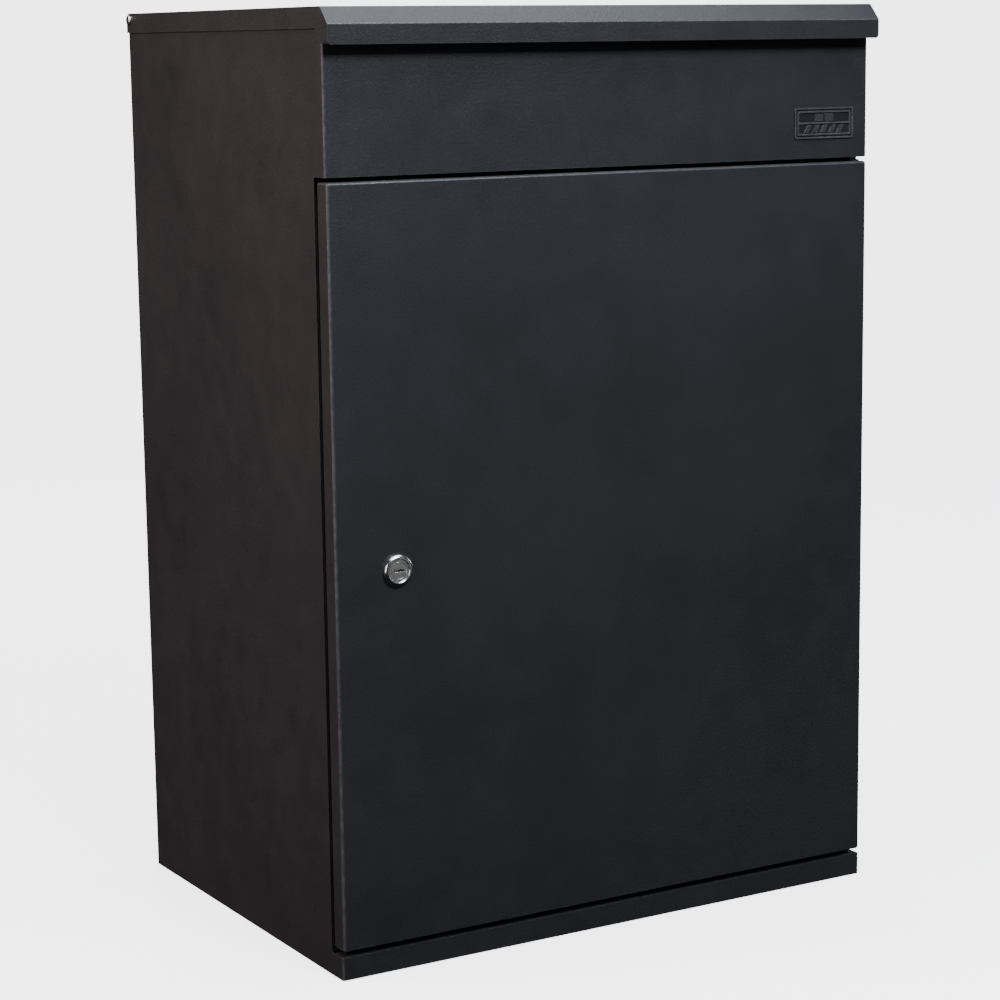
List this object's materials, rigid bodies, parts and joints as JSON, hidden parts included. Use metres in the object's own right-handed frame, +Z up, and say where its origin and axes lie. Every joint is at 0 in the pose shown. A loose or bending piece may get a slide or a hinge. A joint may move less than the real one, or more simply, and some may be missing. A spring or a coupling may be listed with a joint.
{
  "type": "parcel drop box",
  "caption": "Tall wall-mounted sheet-steel parcel box with a hinged lid that swings a drop flap inside it, and a full-width front door with a cam lock.",
  "frame": {"origin": "centre of the box's bounding rectangle on the plane of its underside", "axes": "+X to the right seen from the front, +Y from the door to the wall behind, +Z up"},
  "size_m": [0.446, 0.324, 0.65],
  "materials": {
    "powder_coat": "fine-grained satin powder coat",
    "badge": "satin",
    "chrome": "polished",
    "zinc_steel": "bright zinc plate",
    "black_steel": "blackened steel, lightly oiled",
    "nylon": "matte",
    "rubber": "matte"
  },
  "bodies": {
    "cabinet": {"casing": "powder_coat", "rear_panel": "powder_coat", "floor_pan": "powder_coat", "stile_left": "powder_coat", "stile_right": "powder_coat", "badge_plate": "badge", "lid_buffers": "rubber", "door_buffers": "rubber", "door_hinge_pin_upper": "black_steel", "door_hinge_pin_lower": "black_steel", "flap_bracket_left": "powder_coat", "flap_bracket_right": "powder_coat", "flap_rod": "zinc_steel", "flap_rod_clips": "zinc_steel"},
    "lid": {"lid": "powder_coat", "lid_lug_left": "powder_coat", "lid_lug_right": "powder_coat", "lid_hinge_pin_left": "chrome", "lid_hinge_pin_right": "chrome", "lid_pin_retainers": "zinc_steel", "link_pins_upper": "zinc_steel", "link_clips_upper": "zinc_steel"},
    "door": {"door": "powder_coat", "door_stiffener": "powder_coat", "door_bush_upper": "nylon", "door_bush_lower": "nylon", "lock_housing": "chrome", "lock_nut": "zinc_steel"},
    "lock_cylinder": {"lock_plug": "chrome", "lock_cam": "zinc_steel", "cam_screw": "zinc_steel"},
    "drop_flap": {"drop_flap": "powder_coat", "link_pins_lower": "zinc_steel", "link_clips_lower": "zinc_steel"},
    "lift_links": {"lift_link_left": "zinc_steel", "lift_link_right": "zinc_steel"}
  },
  "joints": [
    {"name": "lid_hinge", "type": "hinge", "parent": "cabinet", "child": "lid", "pos_m": [0, 0.1572, 0.6452], "axis": [-1, 0, 0], "range_deg": [0, 85]},
    {"name": "flap_hinge", "type": "hinge", "parent": "cabinet", "child": "drop_flap", "pos_m": [0, 0.1472, 0.5492], "axis": [-1, 0, 0], "range_deg": [0, 85]},
    {"name": "link_pivot", "type": "hinge", "parent": "lid", "child": "lift_links", "pos_m": [0, 0.0972, 0.6332], "axis": [-1, 0, 0], "range_deg": [-85, 0]},
    {"name": "door_hinge", "type": "hinge", "parent": "cabinet", "child": "door", "pos_m": [0.214, -0.143, 0.279], "axis": [0, 0, 1], "range_deg": [0, 105]},
    {"name": "lock_turn", "type": "hinge", "parent": "door", "child": "lock_cylinder", "pos_m": [-0.173, -0.151, 0.279], "axis": [0, 1, 0], "range_deg": [0, 90]}
  ],
  "couplings": [
    {"joint": "flap_hinge", "follows": "lid_hinge", "ratio": 1},
    {"joint": "link_pivot", "follows": "lid_hinge", "ratio": -1}
  ]
}
